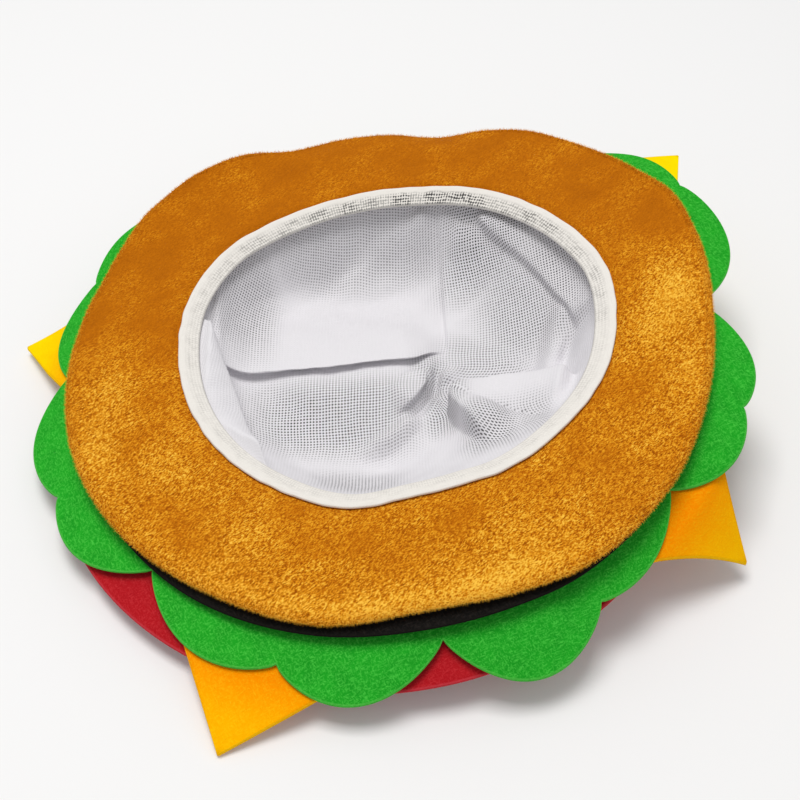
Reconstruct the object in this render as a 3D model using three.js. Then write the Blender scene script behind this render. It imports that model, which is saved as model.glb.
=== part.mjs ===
// Hamburger hat, lying upside down on its soft crown with the head opening up.
// Millimetres, +Z up, the floor is z = 0. Turns are degrees anticlockwise seen from above,
// 0 along +X, and reaches are horizontal distances from the hat's own axis.
import * as THREE from "three";

// Where the hat's axis stands, so that the origin is the middle of the whole footprint
const AXIS = { x: 8.4, y: 4.1 };

// The plane of the lower bun: its height on the axis and how it climbs along +X and +Y
const BRIM = { height: 48, climbX: 0.113, climbY: 0.083 };

// Lower bun by turn: edge of the head opening, outer edge and how far that edge curls up, with
// the edge of the patty under it
const BUN_ROWS = [
  { turn: 0, opening: 90, edge: 131, curl: 0, patty: 127 },
  { turn: 20, opening: 93.5, edge: 139.5, curl: 0.5, patty: 134 },
  { turn: 40, opening: 93, edge: 139, curl: 1.5, patty: 134 },
  { turn: 60, opening: 91.5, edge: 137.5, curl: 0, patty: 132 },
  { turn: 70, opening: 90, edge: 134.5, curl: -1.7, patty: 126 },
  { turn: 80, opening: 88, edge: 131, curl: -5.5, patty: 121 },
  { turn: 90, opening: 87.3, edge: 131, curl: -3, patty: 123 },
  { turn: 100, opening: 87, edge: 132.5, curl: -2.5, patty: 126 },
  { turn: 110, opening: 87.3, edge: 134, curl: -1.5, patty: 129 },
  { turn: 120, opening: 88, edge: 137, curl: 3.5, patty: 131 },
  { turn: 130, opening: 89.5, edge: 139, curl: 5.5, patty: 132 },
  { turn: 140, opening: 91, edge: 139, curl: 4.2, patty: 133 },
  { turn: 160, opening: 89, edge: 135, curl: 0, patty: 131 },
  { turn: 180, opening: 85, edge: 134, curl: 0, patty: 130 },
  { turn: 200, opening: 83, edge: 134, curl: 0, patty: 131 },
  { turn: 220, opening: 82.5, edge: 134, curl: 0, patty: 132 },
  { turn: 240, opening: 83, edge: 135.5, curl: 0, patty: 135 },
  { turn: 260, opening: 84.5, edge: 137, curl: 0, patty: 139 },
  { turn: 280, opening: 80, edge: 133.5, curl: 0, patty: 139 },
  { turn: 300, opening: 83, edge: 137, curl: 0, patty: 137 },
  { turn: 320, opening: 84.5, edge: 135, curl: 0, patty: 132 },
  { turn: 340, opening: 87.5, edge: 130.3, curl: 0, patty: 127 },
];

// How far the loose felt hangs below the brim plane at FELT.reach, by turn
const DROOP_ROWS = [
  { turn: 14, drop: 9 },
  { turn: 43, drop: 5 },
  { turn: 70, drop: 20 },
  { turn: 100, drop: 21 },
  { turn: 125, drop: 9 },
  { turn: 143, drop: 7 },
  { turn: 158, drop: 13 },
  { turn: 172, drop: 14 },
  { turn: 194, drop: 10 },
  { turn: 224, drop: 8 },
  { turn: 250, drop: 10 },
  { turn: 270, drop: 12 },
  { turn: 290, drop: 16 },
  { turn: 315, drop: 16 },
  { turn: 340, drop: 9 },
];

// Lettuce lobes: turn and reach of the notch each one starts at, and the reach of its tip
const LOBES = [
  { turn: 5, notch: 131, tip: 156 },
  { turn: 34.7, notch: 156.5, tip: 161 },
  { turn: 59, notch: 146, tip: 154 },
  { turn: 83, notch: 141, tip: 151 },
  { turn: 107, notch: 140, tip: 150 },
  { turn: 131, notch: 143, tip: 156 },
  { turn: 154, notch: 150, tip: 151 },
  { turn: 178, notch: 138, tip: 151 },
  { turn: 205, notch: 144.5, tip: 148.5 },
  { turn: 228.3, notch: 133, tip: 149 },
  { turn: 254.2, notch: 145, tip: 155.5 },
  { turn: 278.4, notch: 136.5, tip: 155 },
  { turn: 302.3, notch: 140.5, tip: 143 },
  { turn: 323.5, notch: 132, tip: 146.5 },
  { turn: 344, notch: 144, tip: 146.5 },
];

// Cheese corners: turn, reach and height of the tip, and the turns its sides run between
const CHEESE_CORNERS = [
  { turn: 43.3, reach: 184, height: 48.5, from: 21, to: 54 },
  { turn: 104, reach: 163, height: 13, from: 87, to: 121 },
  { turn: 166.5, reach: 168, height: 3.5, from: 153, to: 185 },
  { turn: 250.5, reach: 176.5, height: 1, from: 230, to: 274 },
  { turn: 327.5, reach: 163.5, height: 10, from: 296, to: 338 },
];

// Lining by turn, without its folds: its height at each of LINING_SHARES of the opening's reach
const LINING_SHARES = { h20: 0.2, h40: 0.4, h60: 0.6, h74: 0.74, h84: 0.84, h92: 0.92 };
const LINING_ROWS = [
  { turn: 0, h20: 18, h40: 14, h60: 15, h74: 20, h84: 28, h92: 42 },
  { turn: 30, h20: 18, h40: 15, h60: 18, h74: 27, h84: 35, h92: 42 },
  { turn: 60, h20: 18, h40: 16, h60: 17, h74: 24, h84: 34, h92: 44 },
  { turn: 90, h20: 18, h40: 16, h60: 14, h74: 15, h84: 20, h92: 37 },
  { turn: 120, h20: 18, h40: 16, h60: 14, h74: 14, h84: 19, h92: 35 },
  { turn: 150, h20: 17, h40: 15, h60: 14, h74: 14, h84: 20, h92: 31 },
  { turn: 180, h20: 17, h40: 15, h60: 12, h74: 15, h84: 22, h92: 31 },
  { turn: 210, h20: 14, h40: 8, h60: 7, h74: 13, h84: 20, h92: 28 },
  { turn: 240, h20: 12, h40: 5, h60: 10, h74: 19, h84: 26, h92: 32 },
  { turn: 270, h20: 12, h40: 5, h60: 13, h74: 22, h84: 29, h92: 34 },
  { turn: 300, h20: 14, h40: 12, h60: 20, h74: 28, h84: 34, h92: 39 },
  { turn: 330, h20: 16, h40: 17, h60: 24, h74: 30, h84: 36, h92: 42 },
];

// Folds of the lining: the plan points of each crest, its height, the width of the gentle side
// on the left of its direction and of the steep side on the right, and how its ends fade
const FOLDS = [
  { crest: [[-70, 5], [-21, 10], [27, 18]], height: 8, gentle: 50, steep: 8, fade: 12 },
  { crest: [[78, -8], [54, -3], [28, -11], [35, -36]], height: 13, gentle: 24, steep: 8, fade: 14 },
  { crest: [[-36, -62], [-59, -14], [-78, 28]], height: 9, gentle: 16, steep: 8, fade: 20 },
  { crest: [[42, 82], [67, 48], [84, 18]], height: 6, gentle: 10, steep: 8, fade: 12 },
];

// Cloth thicknesses and the gap that two touching layers keep
const BUN_THICK = 4;
const FELT_THICK = 1.5;
const TAPE_THICK = 1.2;
const LINING_THICK = 1;
const CROWN_THICK = 3.5;
const SEAT = 0.35;

// Gap over each layer of the stack, a little wider where loose felt lies over loose felt
const LAYER_GAP = { patty: 0.35, lettuce: 0.85, cheese: 0.75, tomato: 0.5, crown: 0.35 };

// Felt layers: the seam's clearance round the opening, where the felt leaves the stack, and
// the reach at which DROOP_ROWS holds
const FELT = { seam: 0.8, leave: 112, reach: 150, power: 1.5 };
const PATTY_DROOP = 1.6;

// Tomato: a round slice that sits off the hat's axis, towards its near side
const TOMATO = { radius: 132, x: -5, y: -16.5 };

// Lobe outlines are arches: 1 is a plain sine arch, less is fuller
const LOBE_FULLNESS = 0.75;

// Cheese: reach of a corner's sewn root, of the points that its sides run between, and of the
// place where it starts to fall to its tip
const CHEESE = { root: 98, side: 131, leave: 151, tipWidth: 0.8 };

// Rows of a corner's grid: 0 at the root, 1 where the sides are set, 2 at the tip
const CHEESE_ROWS = [0, 0.42, 0.62, 0.82, 1, 1.14, 1.28, 1.42, 1.56, 1.7, 1.85, 2];
const CHEESE_COLUMNS = [0, 0.2, 0.4, 0.6, 0.8, 1];

// Binding tape: how far it laps over the bun, how wide it is and how far it dips inwards
const TAPE = { lap: 2, width: 8, dip: 2.6 };

// Crown from its shoulder, under the felt, to its flat bottom: reach, height as a share of the
// shoulder's, and where the inner face lies, in and up from there, in wall thicknesses
const CROWN_ROWS = [
  { reach: 104, height: 1, inward: 0.3, up: -1 },
  { reach: 114, height: 0.8, inward: 0.6, up: -0.7 },
  { reach: 119, height: 0.5, inward: 1, up: 0 },
  { reach: 114, height: 0.18, inward: 1, up: 0.7 },
  { reach: 100, height: 0, inward: 0.5, up: 1 },
  { reach: 50, height: 0, inward: 0, up: 1 },
];

// Lining: height of its middle, the lowest it lies, and how far below the brim its wall ends
const LINING = { middle: 19, lowest: 4.8, topDrop: 4 };

// Lining's rings, as shares of the opening's reach: those that are thick downwards, and those
// of its wall, which are thick outwards
const FLOOR_RINGS = [0, 0.12, 0.22, 0.32, 0.42, 0.52, 0.61, 0.69, 0.77, 0.84];
const WALL_RINGS = [0.9, 0.94, 0.965];

// Steps round the axis for plain rings, bowls and the lining, and for each lettuce lobe
const RING_STEPS = 60;
const BOWL_STEPS = 48;
const LINING_STEPS = 54;
const LOBE_STEPS = 7;

const TURN = 360;
const radians = THREE.MathUtils.degToRad;

// Value of one column of a table at a turn, on a smooth closed curve through its rows
function around(rows, column, turn) {
  const at = THREE.MathUtils.euclideanModulo(turn, TURN);
  const count = rows.length;
  const after = rows.findIndex((row) => row.turn > at);
  const next = after === -1 ? 0 : after;
  const pick = (shift) => rows[(next + shift + count) % count];
  const start = pick(-1).turn;
  const span = THREE.MathUtils.euclideanModulo(pick(0).turn - start, TURN);
  const part = THREE.MathUtils.euclideanModulo(at - start, TURN) / span;
  const [low, high] = [pick(-1)[column], pick(0)[column]];
  const slope = (from, to) => {
    const turned = THREE.MathUtils.euclideanModulo(pick(to).turn - pick(from).turn, TURN);
    return ((pick(to)[column] - pick(from)[column]) / turned) * span;
  };
  const slopeLow = slope(-2, 0);
  const slopeHigh = slope(-1, 1);
  const square = part * part;
  const cube = square * part;
  return low * (2 * cube - 3 * square + 1) + slopeLow * (cube - 2 * square + part)
    + high * (3 * square - 2 * cube) + slopeHigh * (cube - square);
}

// Height of the brim plane
function brimHeight(turn, reach) {
  const slope = BRIM.climbX * Math.cos(radians(turn)) + BRIM.climbY * Math.sin(radians(turn));
  return BRIM.height + slope * reach;
}

const openingReach = (turn) => around(BUN_ROWS, "opening", turn);

// A point at a turn, a reach and a height
function place(turn, reach, height) {
  return new THREE.Vector3(
    AXIS.x + reach * Math.cos(radians(turn)),
    AXIS.y + reach * Math.sin(radians(turn)),
    height,
  );
}

// A closed body from points and triangles
function bodyFrom(points, triangles) {
  const geometry = new THREE.BufferGeometry();
  geometry.setFromPoints(points);
  geometry.setIndex(triangles);
  geometry.computeVertexNormals();
  return geometry;
}

// The two triangles of the quad between section a and section b, from place j to place k
function quad(a, b, j, k) {
  return [a + j, a + k, b + k, a + j, b + k, b + j];
}

// A ring: at each turn a closed section of [reach, height] pairs, its top from inside out
function ringBody(turns, section) {
  const points = turns.flatMap((turn) => (
    section(turn).map(([reach, height]) => place(turn, reach, height))
  ));
  const size = points.length / turns.length;
  const triangles = turns.flatMap((_, i) => {
    const a = i * size;
    const b = ((i + 1) % turns.length) * size;
    return Array.from({ length: size }, (__, j) => quad(a, b, j, (j + 1) % size)).flat();
  });
  return bodyFrom(points, triangles);
}

// A bowl: at each turn an open section from the axis inside to the axis below, whose first and
// last pairs give the heights of the two middle points
function bowlBody(turns, section) {
  const sections = turns.map(section);
  const size = sections[0].length - 2;
  const points = sections.flatMap((pairs, i) => (
    pairs.slice(1, -1).map(([reach, height]) => place(turns[i], reach, height))
  ));
  const inner = points.length;
  const under = inner + 1;
  points.push(place(0, 0, sections[0][0][1]), place(0, 0, sections[0][size + 1][1]));
  const triangles = turns.flatMap((_, i) => {
    const a = i * size;
    const b = ((i + 1) % turns.length) * size;
    const strips = Array.from({ length: size - 1 }, (__, j) => quad(a, b, j, j + 1)).flat();
    return [inner, a, b, ...strips, a + size - 1, under, b + size - 1];
  });
  return bodyFrom(points, triangles);
}

// Turns at equal steps
const evenTurns = (steps) => Array.from({ length: steps }, (_, i) => (i * TURN) / steps);

// How far the top of each layer of the stack lies below the brim plane
const layerDepth = {};
let stackDepth = BUN_THICK;
for (const [layer, gap] of Object.entries(LAYER_GAP)) {
  layerDepth[layer] = stackDepth + gap;
  stackDepth = layerDepth[layer] + FELT_THICK;
}

// Height of a loose felt layer's top
function feltHeight(layer, turn, reach) {
  const past = Math.max(reach - FELT.leave, 0) / (FELT.reach - FELT.leave);
  const droop = around(DROOP_ROWS, "drop", turn) * past ** FELT.power;
  return brimHeight(turn, reach) - layerDepth[layer] - droop;
}

// Closed section of a loose felt layer, bent where it leaves the stack and hangs
function feltSection(layer, turn, edge) {
  const bends = [0.33, 0.67, 1].map((share) => THREE.MathUtils.lerp(FELT.leave, edge, share));
  const reaches = [openingReach(turn) + FELT.seam, FELT.leave, ...bends];
  return sheetSection(reaches, (reach) => feltHeight(layer, turn, reach), FELT_THICK);
}

// Closed section of a sheet: its top at the given reaches, and its underside straight below
function sheetSection(reaches, height, thickness) {
  const top = reaches.map((reach) => [reach, height(reach)]);
  const under = top.map(([reach, level]) => [reach, level - thickness]).reverse();
  return [...top, ...under];
}

// Reaches at which the bun and the patty bend, from the opening to the bun's edge
function bunStations(turn) {
  const inner = openingReach(turn);
  const outer = around(BUN_ROWS, "edge", turn) - BUN_THICK / 2;
  return [0, 0.5, 0.75, 1].map((share) => THREE.MathUtils.lerp(inner, outer, share));
}

// How far the bun's rim lies above the brim plane, for an edge that curls by so much
function curlHeight(turn, reach, curl) {
  const [, flat, , outer] = bunStations(turn);
  const share = THREE.MathUtils.clamp((reach - flat) / (outer - flat), 0, 1);
  return curl * share * share;
}

// Lower bun: a padded ring whose rim curls
function bottomBun() {
  return ringBody(evenTurns(RING_STEPS), (turn) => {
    const edge = around(BUN_ROWS, "edge", turn);
    const curl = around(BUN_ROWS, "curl", turn);
    const level = (reach) => brimHeight(turn, reach) + curlHeight(turn, reach, curl);
    const nose = [0.25, 0.75].map((share) => [edge, level(edge) - share * BUN_THICK]);
    const top = bunStations(turn).map((reach) => [reach, level(reach)]);
    const under = top.map(([reach, height]) => [reach, height - BUN_THICK]).reverse();
    return [...top, ...nose, ...under];
  });
}

// Patty: a dark felt ring close under the bun, following it where its rim curls down
function patty() {
  return ringBody(evenTurns(RING_STEPS), (turn) => {
    const curl = Math.min(around(BUN_ROWS, "curl", turn), 0) - PATTY_DROOP;
    const level = (reach) => (
      brimHeight(turn, reach) - layerDepth.patty + curlHeight(turn, reach, curl)
    );
    const [inner, middle, outer] = bunStations(turn);
    const reaches = [inner + FELT.seam, middle, outer, around(BUN_ROWS, "patty", turn)];
    return sheetSection(reaches, level, FELT_THICK);
  });
}

// Lettuce: a felt ring cut in round lobes
function lettuce() {
  const turns = LOBES.flatMap(({ turn }, i) => {
    const next = LOBES[(i + 1) % LOBES.length].turn;
    const span = THREE.MathUtils.euclideanModulo(next - turn, TURN);
    return Array.from({ length: LOBE_STEPS }, (_, k) => turn + (span * k) / LOBE_STEPS);
  });
  return ringBody(turns, (turn) => {
    return feltSection("lettuce", turn, lobeReach(turn));
  });
}

// Edge of the lettuce at a turn: a round arch from notch to notch
function lobeReach(turn) {
  const at = THREE.MathUtils.euclideanModulo(turn - LOBES[0].turn, TURN);
  const starts = LOBES.map((lobe) => lobe.turn - LOBES[0].turn);
  const index = starts.filter((start) => start <= at + 1e-9).length - 1;
  const lobe = LOBES[index];
  const next = LOBES[(index + 1) % LOBES.length];
  const span = THREE.MathUtils.euclideanModulo(next.turn - lobe.turn, TURN);
  const part = THREE.MathUtils.clamp((at - starts[index]) / span, 0, 1);
  const chord = THREE.MathUtils.lerp(lobe.notch, next.notch, part);
  const rise = lobe.tip - (lobe.notch + next.notch) / 2;
  return chord + rise * Math.sin(Math.PI * part) ** LOBE_FULLNESS;
}

// Tomato: a round felt slice under the cheese
function tomato() {
  return ringBody(evenTurns(RING_STEPS), (turn) => {
    const [cos, sin] = [Math.cos(radians(turn)), Math.sin(radians(turn))];
    const towards = TOMATO.x * cos + TOMATO.y * sin;
    const aside = TOMATO.x * sin - TOMATO.y * cos;
    return feltSection("tomato", turn, towards + Math.sqrt(TOMATO.radius ** 2 - aside ** 2));
  });
}

// A point in the plan at a turn and a reach
function planPoint(turn, reach) {
  return new THREE.Vector2(reach * Math.cos(radians(turn)), reach * Math.sin(radians(turn)));
}

// One cheese corner: a felt flap with straight sides, whose tip hangs down past the tomato
function cheeseCorner({ turn, reach, height, from, to }) {
  const tipHalf = THREE.MathUtils.radToDeg(CHEESE.tipWidth / 2 / reach);
  const side = (start, end) => [
    planPoint(start, CHEESE.root),
    planPoint(start, CHEESE.side),
    planPoint(end, reach),
  ];
  const left = side(from, turn - tipHalf);
  const right = side(to, turn + tipHalf);
  const along = (line, row) => {
    const leg = Math.min(Math.floor(row), 1);
    return line[leg].clone().lerp(line[leg + 1], row - leg);
  };
  const level = (at, out) => {
    const resting = feltHeight("cheese", at, Math.min(out, CHEESE.leave));
    const past = THREE.MathUtils.clamp((out - CHEESE.leave) / (reach - CHEESE.leave), 0, 1);
    return THREE.MathUtils.lerp(resting, height + FELT_THICK, past);
  };
  const points = CHEESE_ROWS.flatMap((row) => CHEESE_COLUMNS.map((column) => {
    const spot = along(left, row).lerp(along(right, row), column);
    const at = THREE.MathUtils.radToDeg(spot.angle());
    return place(at, spot.length(), level(at, spot.length()));
  }));
  return sheetPatch(points, CHEESE_COLUMNS.length, FELT_THICK);
}

// A patch of sheet from a grid of top points, columns to a row, with its underside and edges
function sheetPatch(top, columns, thickness) {
  const under = top.map((point) => point.clone().setZ(point.z - thickness));
  const shift = top.length;
  const rows = shift / columns;
  const triangles = [];
  for (let i = 0; i < rows - 1; i += 1) {
    for (let j = 0; j < columns - 1; j += 1) {
      const a = i * columns + j;
      const b = a + columns;
      triangles.push(a, b, b + 1, a, b + 1, a + 1);
      triangles.push(shift + a, shift + b + 1, shift + b, shift + a, shift + a + 1, shift + b + 1);
    }
  }
  const bottomEdge = Array.from({ length: columns }, (_, j) => j);
  const rightEdge = Array.from({ length: rows - 1 }, (_, i) => (i + 2) * columns - 1);
  const topEdge = Array.from({ length: columns - 1 }, (_, j) => rows * columns - 2 - j);
  const leftEdge = Array.from({ length: rows - 2 }, (_, i) => (rows - 2 - i) * columns);
  const loop = [...bottomEdge, ...rightEdge, ...topEdge, ...leftEdge];
  loop.forEach((a, i) => {
    const b = loop[(i + 1) % loop.length];
    triangles.push(a, b, shift + b, a, shift + b, shift + a);
  });
  return bodyFrom([...top, ...under], triangles);
}

// Binding: a folded tape over the edge of the opening, dipping inwards
function binding() {
  return ringBody(evenTurns(RING_STEPS), (turn) => {
    const edge = openingReach(turn);
    const outer = edge + TAPE.lap;
    const inner = outer - TAPE.width;
    const level = (reach) => {
      const share = Math.max(edge - reach, 0) / (edge - inner);
      return brimHeight(turn, reach) + SEAT + TAPE_THICK - TAPE.dip * share;
    };
    return sheetSection([inner, edge, outer], level, TAPE_THICK);
  });
}

// Crown: the hollow upper bun, squashed flat where it lies on the floor
function crown() {
  return bowlBody(evenTurns(BOWL_STEPS), (turn) => {
    const lip = openingReach(turn) + FELT.seam;
    const top = (reach) => brimHeight(turn, reach) - layerDepth.crown;
    const shoulder = top(CROWN_ROWS[0].reach);
    const outside = CROWN_ROWS.map((row) => [row.reach, row.height * shoulder]);
    const inside = CROWN_ROWS.map((row) => [
      row.reach - row.inward * CROWN_THICK,
      row.height * shoulder + row.up * CROWN_THICK,
    ]);
    return [
      [0, CROWN_THICK],
      ...inside.reverse(),
      [lip, top(lip) - CROWN_THICK],
      [lip, top(lip)],
      ...outside,
      [0, 0],
    ];
  });
}

// A step from 0 at low to 1 at high, with smooth ends
const smooth = (value, low, high) => THREE.MathUtils.smoothstep(value, low, high);

// Height of the lining without its folds, straight between its shares of the opening
function liningBase(turn, share) {
  const opening = openingReach(turn);
  const last = WALL_RINGS[WALL_RINGS.length - 1];
  const stations = [0, ...Object.values(LINING_SHARES), last];
  const heights = [
    LINING.middle,
    ...Object.keys(LINING_SHARES).map((column) => around(LINING_ROWS, column, turn)),
    brimHeight(turn, opening) - LINING.topDrop,
  ];
  const next = Math.max(stations.findIndex((station) => station >= share), 1);
  const part = (share - stations[next - 1]) / (stations[next] - stations[next - 1]);
  return THREE.MathUtils.lerp(heights[next - 1], heights[next], part);
}

// What one fold adds at a plan point, by its nearest place on the crest
function foldHeight(spot, { crest, height, gentle, steep, fade }) {
  const points = crest.map(([x, y]) => new THREE.Vector2(x, y));
  const legs = points.slice(1).map((end, i) => end.clone().sub(points[i]));
  const length = legs.reduce((total, leg) => total + leg.length(), 0);
  let run = 0;
  let nearest = { distance: Infinity };
  legs.forEach((leg, i) => {
    const offset = spot.clone().sub(points[i]);
    const along = THREE.MathUtils.clamp(offset.dot(leg) / leg.lengthSq(), 0, 1);
    const distance = offset.distanceTo(leg.clone().multiplyScalar(along));
    if (distance < nearest.distance) {
      nearest = { distance, side: Math.sign(leg.cross(offset)), at: run + along * leg.length() };
    }
    run += leg.length();
  });
  const ends = smooth(nearest.at, 0, fade) * smooth(length - nearest.at, 0, fade);
  return height * ends * (1 - smooth(nearest.distance, 0, nearest.side > 0 ? gentle : steep));
}

// Height of the folded lining at a turn and a share of the opening's reach
function liningHeight(turn, share) {
  const spot = planPoint(turn, openingReach(turn) * share);
  const folds = FOLDS.reduce((total, fold) => total + foldHeight(spot, fold), 0);
  const free = 1 - smooth(share, 0.88, WALL_RINGS[WALL_RINGS.length - 1]);
  return Math.max(liningBase(turn, share) + folds * free, LINING.lowest);
}

// Lining: a thin cloth bag that lies in folds on the crown's floor
function lining() {
  return bowlBody(evenTurns(LINING_STEPS), (turn) => {
    const inside = (share) => [openingReach(turn) * share, liningHeight(turn, share)];
    const floor = FLOOR_RINGS.map(inside);
    const wall = WALL_RINGS.map(inside);
    const underFloor = floor.map(([reach, height]) => [reach, height - LINING_THICK]);
    const outWall = wall.map(([reach, height]) => [reach + LINING_THICK, height]);
    return [...floor, ...wall, ...[...underFloor, ...outWall].reverse()];
  });
}

// A named mesh in cloth of one colour
function clothPiece(name, geometry, colour, roughness) {
  const material = new THREE.MeshStandardMaterial({ color: colour, roughness, metalness: 0 });
  const mesh = new THREE.Mesh(geometry, material);
  mesh.name = name;
  return mesh;
}

const hat = new THREE.Group();
hat.add(clothPiece("crown", crown(), 0xb9691a, 0.85));
hat.add(clothPiece("bottom_bun", bottomBun(), 0xc87a1c, 0.8));
hat.add(clothPiece("patty", patty(), 0x211a1c, 0.95));
hat.add(clothPiece("lettuce", lettuce(), 0x1fa02b, 0.95));
CHEESE_CORNERS.forEach((corner, i) => {
  hat.add(clothPiece(`cheese_${i + 1}`, cheeseCorner(corner), 0xffb000, 0.95));
});
hat.add(clothPiece("tomato", tomato(), 0xc81d2a, 0.95));
hat.add(clothPiece("binding", binding(), 0xeeeae2, 0.9));
hat.add(clothPiece("lining", lining(), 0xe2e2e6, 0.9));

export default hat;
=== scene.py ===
"""Looks of a hamburger hat, lying upside down on its soft crown with the head opening up.

Lengths are in millimetres in the hat's frame and are scaled to metres where a mesh is made.
Turns are degrees anticlockwise seen from above, 0 along +X, and reaches are distances from
the hat's own axis.
"""

import math

import bpy
import numpy as np
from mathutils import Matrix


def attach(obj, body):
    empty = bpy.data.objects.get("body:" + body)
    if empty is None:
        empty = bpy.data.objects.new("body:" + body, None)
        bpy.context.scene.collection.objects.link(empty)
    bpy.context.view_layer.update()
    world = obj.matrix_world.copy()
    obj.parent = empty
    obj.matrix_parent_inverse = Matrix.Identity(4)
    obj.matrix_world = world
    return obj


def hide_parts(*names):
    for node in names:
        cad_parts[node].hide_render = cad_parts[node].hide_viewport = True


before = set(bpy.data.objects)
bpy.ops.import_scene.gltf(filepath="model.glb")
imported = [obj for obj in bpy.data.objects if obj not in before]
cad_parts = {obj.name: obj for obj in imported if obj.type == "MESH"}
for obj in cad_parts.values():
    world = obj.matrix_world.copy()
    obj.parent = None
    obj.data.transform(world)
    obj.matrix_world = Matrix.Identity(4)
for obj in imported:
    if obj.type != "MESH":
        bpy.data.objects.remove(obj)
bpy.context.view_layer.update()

# A millimetre in metres, and a whole turn in degrees
MM = 0.001
TURN = 360

# Where the hat's axis stands
AXIS = np.array([8.4, 4.1, 0.0])

# Plane of the lower bun: its height on the axis and how it climbs along +X and +Y
BRIM = {"height": 48, "climb_x": 0.113, "climb_y": 0.083}

# Thicknesses of the pieces
BUN_THICK = 4
FELT_THICK = 1.5
TAPE_THICK = 1.2
CROWN_THICK = 3.5

# Gap over each layer of the stack
LAYER_GAPS = {"patty": 0.35, "lettuce": 0.85, "cheese": 0.75, "tomato": 0.5, "crown": 0.35}

# Felt layers: how far outside the opening they begin, the reach where they leave the brim's
# plane, the reach that DROOP is given for and the power of their bend
FELT = {"seam": 0.8, "leave": 112, "reach": 150, "power": 1.5}

# How far the patty's edge hangs below the bun
PATTY_DROOP = 1.6

# Tomato: its radius and where its middle lies from the axis
TOMATO = {"radius": 132, "x": -5, "y": -16.5}

# Power of the sine that a lettuce lobe follows: the lower, the fuller
LOBE_FULLNESS = 0.8

# Cheese corners: reach of their hidden end and of the start of their slanting sides, and how
# wide they are at the tip
CHEESE = {"root": 98, "side": 131, "tip_width": 0.8}

# Tape: how far it laps over the bun, its width and how far its inner edge dips
TAPE = {"lap": 2, "width": 8, "dip": 2.6}

# Gap under the tape, and how deep it presses into the bun's pile
SEAT = 0.35
TAPE_PRESS = 1.3


def table(names, rows):
    """A table of named columns."""
    return dict(zip(names.split(), np.array(rows, float).T))


# Lower bun by turn: edge of the opening, outer edge, its curl and the patty's edge
BUN = table(
    "turn opening edge curl patty",
    [
        (0, 90, 131, 0, 127),
        (20, 93.5, 138.5, 0.5, 134),
        (30, 93.3, 142.5, 1, 134),
        (40, 93, 139.5, 1.5, 134),
        (60, 91.5, 138.8, 0, 132),
        (70, 90, 136.3, -1.7, 126),
        (80, 88, 132.8, -5.5, 121),
        (90, 87.3, 132.5, -3, 123),
        (100, 87, 134.3, -2.5, 126),
        (110, 87.3, 134, -1.5, 129),
        (120, 88, 138.2, 3.5, 131),
        (130, 89.5, 139.8, 5.5, 132),
        (140, 91, 139.8, 4.2, 133),
        (160, 89, 134.8, 0, 131),
        (180, 85, 133.5, 0, 130),
        (200, 83, 133.8, 0, 131),
        (220, 82.5, 133.6, 0, 132),
        (240, 83, 133.2, 0, 135),
        (260, 84.5, 135.2, 0, 136),
        (275, 81, 131, 0, 135),
        (290, 81, 133, 0, 135),
        (300, 83, 136, 0, 135.5),
        (320, 84.5, 134, 0, 132),
        (340, 87.5, 130.3, 0, 127),
    ],
)

# How far the loose felt hangs below the brim plane at FELT's reach
DROOP = table(
    "turn drop",
    [(14, 9), (43, 5), (70, 20), (100, 21), (125, 9), (143, 7), (158, 13), (172, 14)]
    + [(194, 10), (224, 8), (250, 10), (270, 12), (290, 16), (315, 16), (340, 9)],
)

# Lettuce lobes: turn and reach of the notch each one starts at, and the reach of its tip
LOBES = table(
    "turn notch tip",
    [
        (6, 128.5, 157.5),
        (34.7, 159, 162),
        (59, 146, 154),
        (83, 141, 151),
        (107, 140, 150),
        (131, 143, 156),
        (154, 149, 150.5),
        (178, 136.5, 149.2),
        (204, 143.3, 147.6),
        (228.3, 132, 148.3),
        (254.2, 144.2, 154.2),
        (278.4, 135.5, 154.3),
        (302.8, 142, 142.3),
        (323.5, 131, 146.3),
        (344, 144, 146.3),
    ],
)

# Cheese corners: turn, reach and height of the tip, the turns its sides run between, the reach
# where it starts to fall and how yellow it is, which paints the light and shade falling on it
CORNERS = table(
    "turn reach height start end leave tone",
    [
        (42.75, 185.5, 46.6, 21, 54, 151, 1.4),
        (104, 163, 13, 87, 121, 151, 0.6),
        (166.5, 168, 3.5, 153, 185, 151, 0.55),
        (250.5, 176.5, 1, 230, 279, 151, 0.05),
        (327.5, 163.5, 8.5, 296, 338, 142.5, 0.1),
    ],
)

# Crown outside, from its shoulder under the felt to its flat bottom: reach, and height as a
# share of the shoulder's
CROWN = table(
    "reach height",
    [(104, 1), (110, 0.93), (116, 0.75), (119, 0.5), (117, 0.26), (111, 0.09), (100, 0), (50, 0)],
)

# Lining without its folds: heights h0 to h5 by turn, at LINING_SHARES of the opening's reach
LINING_SHARES = (0.2, 0.4, 0.6, 0.74, 0.84, 0.92)
LINING = table(
    "turn h0 h1 h2 h3 h4 h5",
    [
        (0, 18, 14, 15, 20, 28, 42),
        (30, 18, 15, 18, 27, 35, 42),
        (60, 18, 16, 17, 24, 34, 44),
        (90, 18, 16, 14, 15, 20, 37),
        (120, 18, 16, 14, 14, 19, 35),
        (150, 17, 15, 14, 14, 20, 31),
        (180, 17, 15, 12, 15, 22, 31),
        (210, 14, 8, 7, 13, 20, 28),
        (240, 12, 5, 10, 19, 26, 32),
        (270, 12, 5, 13, 22, 29, 34),
        (300, 14, 12, 20, 28, 34, 39),
        (330, 16, 17, 24, 30, 36, 42),
    ],
)

# Height of the lining at its middle, and how far its seam lies below the brim plane
LINING_MIDDLE = 19
LINING_TOP_DROP = 3

# Camera: place in the hat's frame, tilt from straight down, and lens
CAMERA = {"x": 13.05, "y": -420.21, "z": 434.73, "tilt": 45, "lens": 63, "sensor": 36}


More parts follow.
